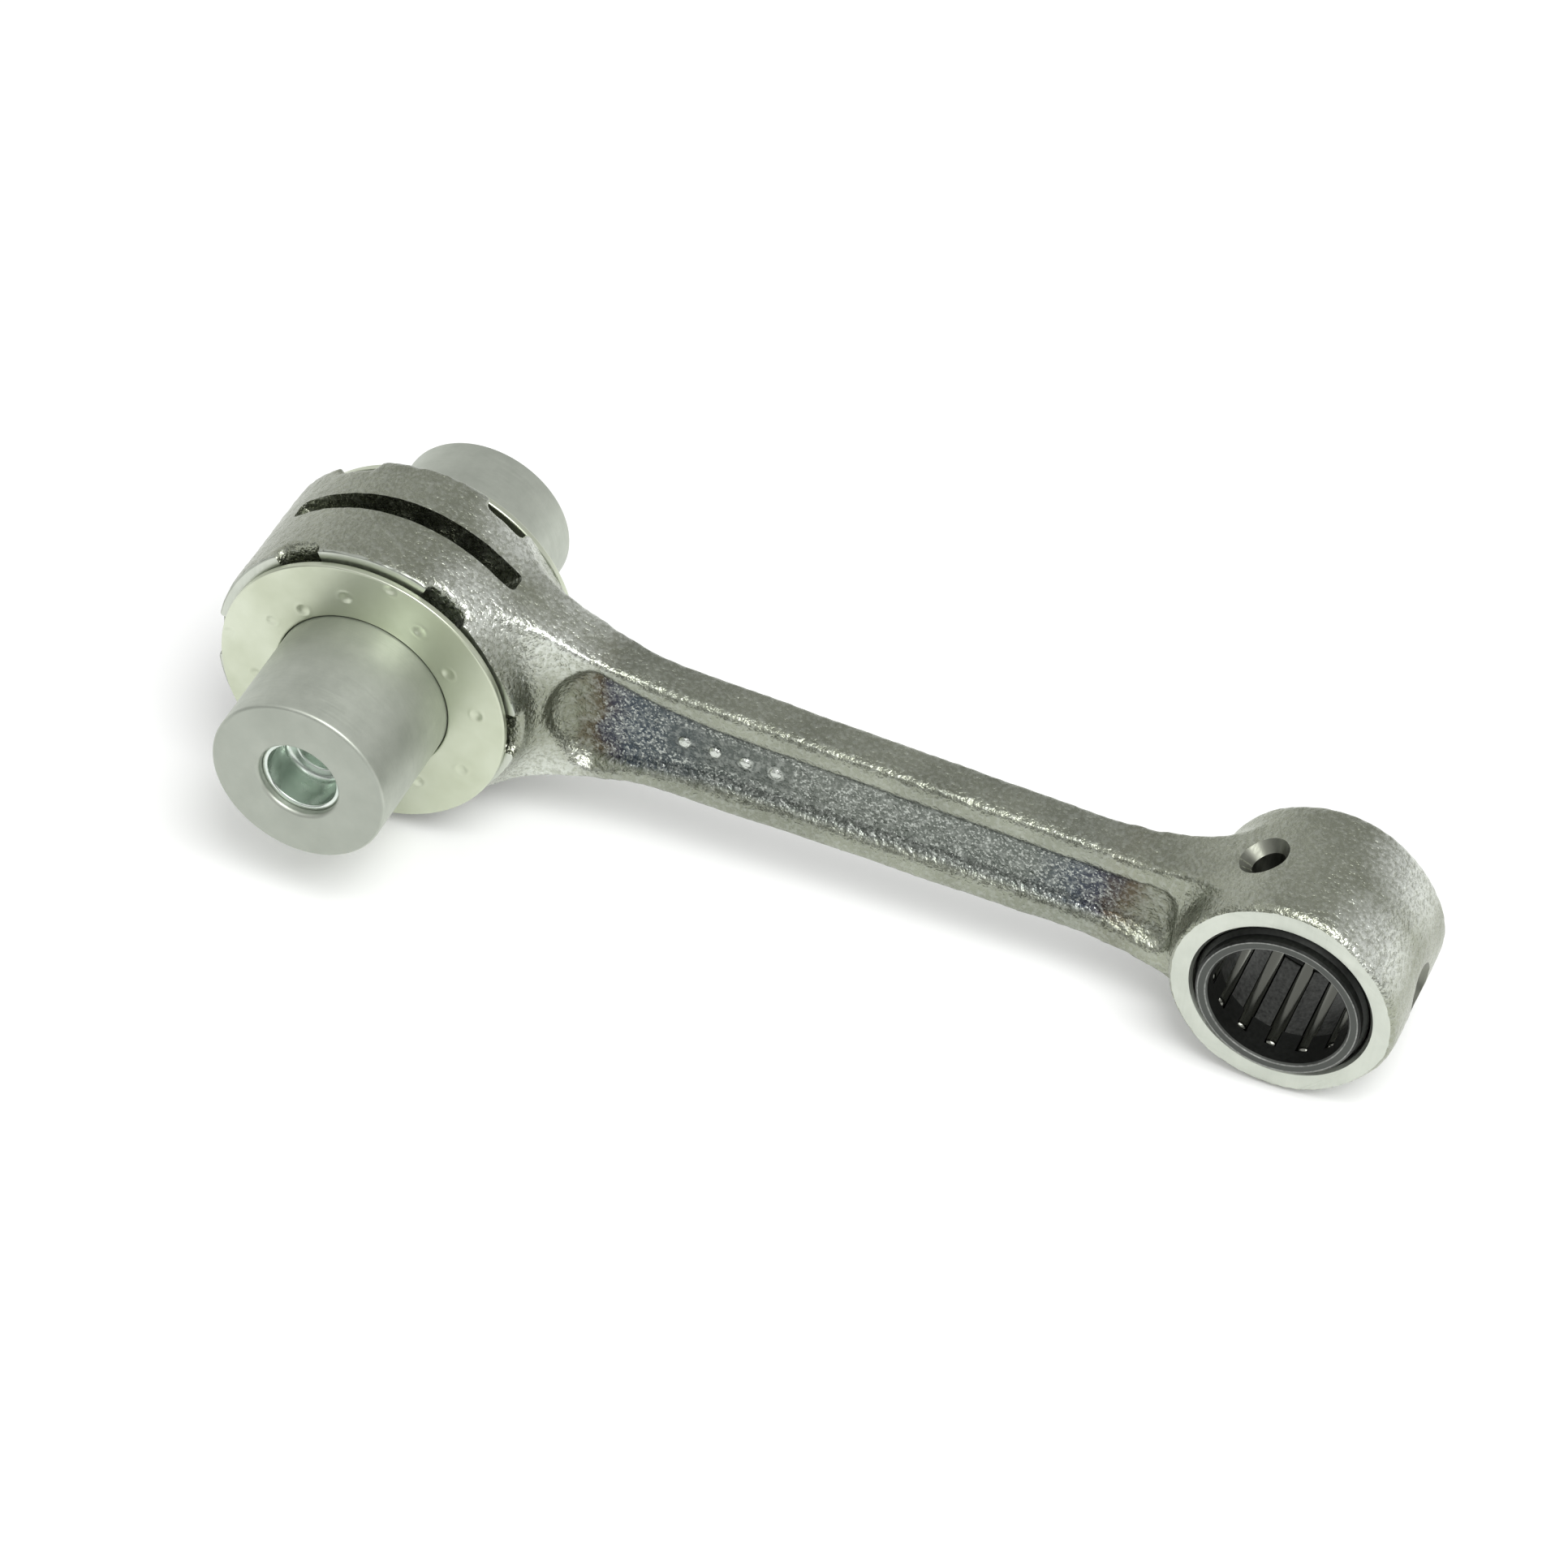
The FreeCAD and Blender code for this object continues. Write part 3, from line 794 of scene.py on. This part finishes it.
def notchTools(m):
    tools = []
    width = 2 * bigRadius * math.sin(math.radians(m["notchAngle"] / 2))
    inner, outer = m["bigBore"] - 1 * mm, bigRadius + 1 * mm
    for face in (frontFace, rearFace):
        for i in range(m["notchCount"]):
            angle = 2 * math.pi * i / m["notchCount"]
            bm = bmesh.new()
            made = bmesh.ops.create_cube(bm, size=1)
            scale = Matrix.Diagonal((outer - inner, 2 * m["notchDepth"], width, 1))
            shift = Matrix.Translation(((inner + outer) / 2, face, 0))
            move = Matrix.Rotation(-angle, 4, "Y") @ shift @ scale
            bmesh.ops.transform(bm, matrix=move, verts=made["verts"])
            tools.append(newObject("tool_notch", meshFrom(bm, "tool_notch")))
    return tools


def oilTools(m):
    tools = []
    for i in range(m["oilHoles"]):
        angle = 2 * math.pi * i / m["oilHoles"]
        r, mouth, cone = m["oilHole"], m["oilMouth"], m["oilCone"]
        slope = (mouth - r) / cone
        start = smallRadius - cone
        reach = smallRadius + m["over"]
        bm = bmesh.new()
        points = [(0.0, m["smallBore"] - 1 * mm), (r, m["smallBore"] - 1 * mm), (r, start),
                  (r + slope * (reach - start), reach), (0.0, reach)]
        mesh = lathe("tool_oil", points, segments=64)
        bm.from_mesh(mesh)
        # the lathe's axis is Y: turn it to +X, then round to its place
        turn = Matrix.Rotation(-angle, 4, "Y") @ Matrix.Rotation(-math.pi / 2, 4, "Z")
        move = Matrix.Translation((smallX, 0, 0)) @ turn
        bmesh.ops.transform(bm, matrix=move, verts=bm.verts)
        tools.append(newObject("tool_oil", meshFrom(bm, "tool_oil")))
    return tools


def cutAway(body, tools, operation="DIFFERENCE"):
    for tool in tools:
        cut = body.modifiers.new("cut", "BOOLEAN")
        cut.operation, cut.solver, cut.object = operation, "MANIFOLD", tool
    applyModifiers(body)
    for tool in tools:
        mesh = tool.data
        bpy.data.objects.remove(tool)
        bpy.data.meshes.remove(mesh)


rodPiece = blankForging(forging, machining)
leanShoulders(rodPiece.data, forging, machining)
relax(rodPiece.data, forging)
peen(rodPiece.data, forging)
cutAway(rodPiece, pipTools(forging), "UNION")
cutAway(rodPiece, cutters(machining)
        + [slotTool(machining, machining["slotFrom"], machining["slotTo"]),
           slotTool(machining, -machining["slotTo"], -machining["slotFrom"])]
        + oilTools(machining))
print("rod machined:", len(rodPiece.data.polygons), "faces")

forgeFinish = {
    "colour": (0.375, 0.395, 0.315),
    "darker": (0.26, 0.275, 0.215),
    # colour of the painted glints and highlights
    "glint": (0.60, 0.63, 0.585),
    "roughness": 0.27,
    "peenSize": 0.62 * mm,
    "peenDepth": 0.24 * mm,
    # painted highlight patches on the shoulders: x, y, z and radius of each patch in mm, repeated
    # on all four sides
    "paintedHighlights": [(13, 7.5, 17, 8), (24, 6.5, 13, 9), (134, 6.5, 11, 8)],
    # colour of the painted highlight patches
    "paintedHighlightColour": (0.74, 0.77, 0.71),
    "wrinkleSize": 1.5 * mm,
    "wrinkleDepth": 0.18 * mm,
    "recessHeight": (6.2 * mm, 7.4 * mm),   # where the recess's finish fades out, up and down
    "recessDepth": (2.3 * mm, 3.0 * mm),    # and towards the flanges' faces
    "glitterMiddle": 64 * mm, "glitterHalf": (33 * mm, 38 * mm),
    "pipMiddle": 46.8 * mm, "pipHalf": (8 * mm, 9.5 * mm),      # the row of pips, along the rod
    "pipBand": (2.0 * mm, 3.0 * mm),                            # and up and down from its middle
    "pipTops": (-1.75 * mm, -1.62 * mm),    # the pips stand out of the web past here
    # heat tint along the rod: (mm from the big-end axis, colour)
    "tint": [(14, (0.25, 0.27, 0.21)), (25.5, (0.205, 0.215, 0.16)), (28.5, (0.085, 0.068, 0.042)),
             (30.0, (0.045, 0.043, 0.058)), (33.5, (0.055, 0.070, 0.085)),
             (44, (0.095, 0.108, 0.10)), (60, (0.135, 0.148, 0.13)), (88, (0.125, 0.14, 0.125)),
             (94.5, (0.065, 0.078, 0.095)), (98, (0.050, 0.050, 0.066)),
             (100.5, (0.095, 0.075, 0.048)), (104, (0.21, 0.22, 0.17)),
             (124, (0.29, 0.305, 0.24))],
    "tintOutside": 0.2,    # how much of the tint shows outside the recess
}


def heatTint(tree, f, ground):
    alongX, alongY, alongZ = splitXYZ(tree)
    wander = grain(tree, objectPlace(tree), 3 * mm, 3)
    wandered = maths(tree, "ADD", alongX, spread(tree, wander, -1.5 * mm, 1.5 * mm))
    first, last = f["tint"][0][0], f["tint"][-1][0]
    along = spread(tree, wandered, 0, 1, first * mm, last * mm)
    ramp = addNode(tree, "ShaderNodeValToRGB")
    elements = ramp.color_ramp.elements
    while len(elements) < len(f["tint"]):
        elements.new(0.5)
    for element, (x, colour) in zip(elements, f["tint"]):
        element.position = (x - first) / (last - first)
        element.color = (*colour, 1)
    tree.links.new(along, ramp.inputs[0])
    absY, absZ = maths(tree, "ABSOLUTE", alongY), maths(tree, "ABSOLUTE", alongZ)
    inHeight = spread(tree, absZ, 1, 0, *f["recessHeight"])
    inDepth = spread(tree, absY, 1, 0, *f["recessDepth"])
    inRecess = maths(tree, "MULTIPLY", inHeight, inDepth)
    strength = spread(tree, inRecess, f["tintOutside"], 1, 0, 1)
    tinted = blendColour(tree, strength, ground, ramp.outputs[0])
    # painted glints on the recess floor between its two heat bands
    speck = grain(tree, objectPlace(tree), f["peenSize"] * 0.55, 2, 0.6)
    fromMiddle = maths(tree, "ABSOLUTE", maths(tree, "SUBTRACT", alongX, f["glitterMiddle"]))
    inMiddle = maths(tree, "MULTIPLY", inRecess, spread(tree, fromMiddle, 1, 0, *f["glitterHalf"]))
    paintedGlints = maths(tree, "MULTIPLY", inMiddle, spread(tree, speck, 0, 0.75, 0.53, 0.66))
    # round the pips the floor is plain, and the pips themselves get a painted highlight
    fromRow = maths(tree, "ABSOLUTE", maths(tree, "SUBTRACT", alongX, f["pipMiddle"]))
    byRow = spread(tree, fromRow, 1, 0, *f["pipHalf"])
    byRow = maths(tree, "MULTIPLY", byRow, spread(tree, absZ, 1, 0, *f["pipBand"]))
    byRow = maths(tree, "MULTIPLY", byRow, spread(tree, alongY, 1, 0, -1.0 * mm, 0))
    paintedGlints = maths(tree, "MULTIPLY", paintedGlints, spread(tree, byRow, 1, 0.15))
    pipHighlight = maths(tree, "MULTIPLY", byRow, spread(tree, alongY, 1, 0, *f["pipTops"]))
    withPaintedGlints = blendColour(tree, paintedGlints, tinted, f["glint"])
    return blendColour(tree, pipHighlight, withPaintedGlints, f["glint"])


def forgedSkin(f):
    mat, tree, shader = nodeTree("peenedForging")
    coords = objectPlace(tree)
    peenTex = grain(tree, coords, f["peenSize"], 2.5, 0.6)
    wrinkle = grain(tree, coords, f["wrinkleSize"], 2, 0.5)
    broad = grain(tree, coords, 9 * mm, 3)
    shader.inputs["Metallic"].default_value = 1.0
    ground = blendColour(tree, spread(tree, broad, 0, 1), f["colour"], f["darker"])
    tinted = heatTint(tree, f, ground)
    # painted glints on the peened grain's high spots
    paintedSheen = blendColour(tree, spread(tree, peenTex, 0, 0.3, 0.45, 0.7), tinted, f["glint"])
    alongX, alongY, alongZ = splitXYZ(tree)
    absY, absZ = maths(tree, "ABSOLUTE", alongY), maths(tree, "ABSOLUTE", alongZ)
    # painted highlight patches on the shoulders, blended into the base colour
    for x, y, z, radius in f["paintedHighlights"]:
        far = None
        for value, middle in ((alongX, x), (absY, y), (absZ, z)):
            away = maths(tree, "SUBTRACT", value, middle * mm)
            square = maths(tree, "MULTIPLY", away, away)
            far = square if far is None else maths(tree, "ADD", far, square)
        distance = maths(tree, "SQRT", far)
        patch = spread(tree, distance, 1, 0, radius * 0.35 * mm, radius * mm)
        patch = maths(tree, "MULTIPLY", patch, spread(tree, peenTex, 0.35, 1, 0.35, 0.6))
        paintedSheen = blendColour(tree, patch, paintedSheen, f["paintedHighlightColour"])
    tree.links.new(paintedSheen, shader.inputs["Base Color"])
    roughFrom(tree, shader, peenTex, f["roughness"] - 0.08, f["roughness"] + 0.1)
    first = bumpFrom(tree, wrinkle, f["wrinkleDepth"], 0.6)
    tree.links.new(bumpFrom(tree, peenTex, f["peenDepth"], 1.0, first), shader.inputs["Normal"])
    return mat


machinedFinish = {
    "machinedFace": {"bright": (0.61, 0.64, 0.57), "dull": (0.54, 0.57, 0.505), "roughness": 0.36},
    "turnedRim": {"bright": (0.45, 0.475, 0.42), "dull": (0.36, 0.38, 0.33), "roughness": 0.34},
    "drilledHole": {"bright": (0.24, 0.25, 0.21), "dull": (0.15, 0.155, 0.13), "roughness": 0.40},
}


def machinedSteel(name, f):
    mat, tree, shader = nodeTree(name)
    blotch = grain(tree, objectPlace(tree), 4 * mm, 3)
    lines = grain(tree, objectPlace(tree, (1, 0.2, 0.04)), 0.25 * mm, 2)
    shader.inputs["Metallic"].default_value = 1.0
    colour = blendColour(tree, spread(tree, blotch, 0, 1), f["bright"], f["dull"])
    tree.links.new(colour, shader.inputs["Base Color"])
    roughFrom(tree, shader, lines, f["roughness"] - 0.07, f["roughness"] + 0.07)
    tree.links.new(bumpFrom(tree, lines, 0.01 * mm, 0.3), shader.inputs["Normal"])
    return mat


def sortFaces(mesh, m):
    # machined faces and bores, the turned rims and the oil holes get their own finish
    mesh.materials.clear()
    mesh.materials.append(forgedSkin(forgeFinish))
    for name, finish in machinedFinish.items():
        mesh.materials.append(machinedSteel(name, finish))
    eps = 0.02 * mm
    rimDepth = 0.9 * m["rimRound"]
    for p in mesh.polygons:
        c, n = p.center, p.normal
        machined, rim, hole = False, False, False
        if c.x < smallX / 2:
            r = math.hypot(c.x, c.z)
            level = abs(c.y - frontFace) < eps or abs(c.y - rearFace) < eps
            flat = abs(n.y) > 0.99 and level
            atRim = c.y < frontFace + rimDepth or c.y > rearFace - rimDepth
            onRim = bigRadius - m["rimRound"] < r < bigRadius + 0.05 * mm
            rim = onRim and atRim and abs(n.y) > 0.25
            machined = flat or r < m["bigBore"] + m["boreEdge"]
        else:
            r = math.hypot(c.x - smallX, c.z)
            flat = abs(n.y) > 0.99 and abs(abs(c.y) - m["smallFace"]) < eps
            inside = r < smallRadius - 0.2 * mm and c.x > smallX - smallRadius
            hole = inside and abs(c.y) < m["oilMouth"]
            machined = flat or r < m["smallBore"] + m["boreEdge"]
        p.material_index = 1 if machined else 2 if rim else 3 if hole else 0
        p.use_smooth = True


sortFaces(rodPiece.data, machining)
rodPiece.data.set_sharp_from_angle(angle=math.radians(35))
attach(rodPiece, "rod")
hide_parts("rod")
print("rod finished")
